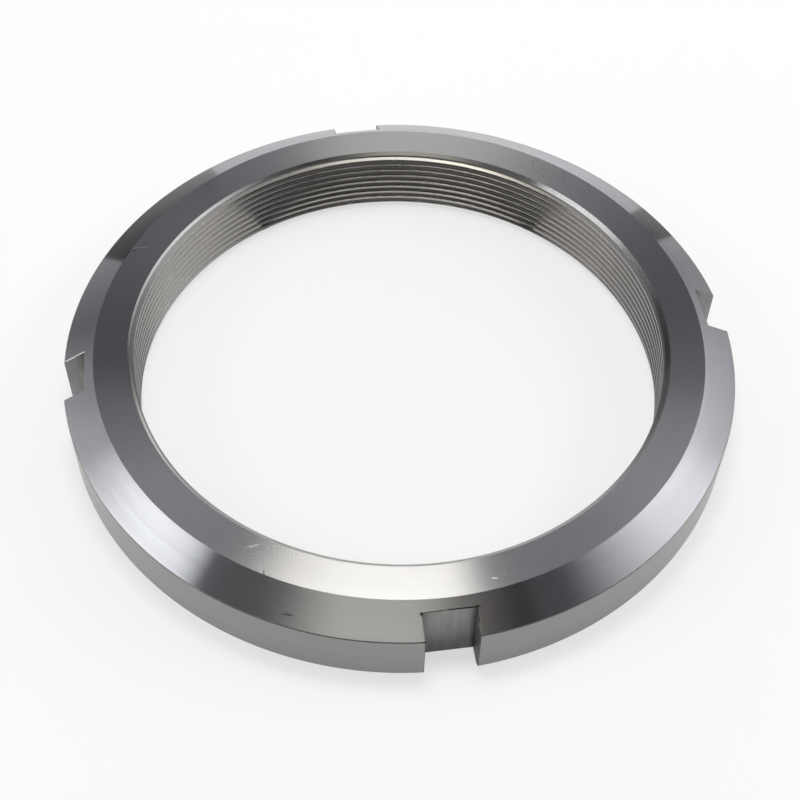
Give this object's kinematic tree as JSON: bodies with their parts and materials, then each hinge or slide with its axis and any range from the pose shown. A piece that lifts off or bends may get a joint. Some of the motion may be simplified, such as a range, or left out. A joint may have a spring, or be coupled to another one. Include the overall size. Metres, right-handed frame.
{
  "type": "bearing lock nut",
  "caption": "Round slotted steel lock nut with a fine metric thread and a wide outer chamfer, screwed against a rolling bearing to hold it on its shaft.",
  "frame": {"origin": "centre of the flat back face, on the thread's axis", "axes": "+Z along the thread's axis towards the bearing face, which has the wide chamfer; the spanner slots lie on +X, +Y, -X and -Y"},
  "size_m": [0.2494, 0.2494, 0.029],
  "materials": {
    "turned_steel": "bright turned steel, bare, with milled slots"
  },
  "bodies": {
    "root": {"lock_nut": "turned_steel"}
  },
  "joints": []
}
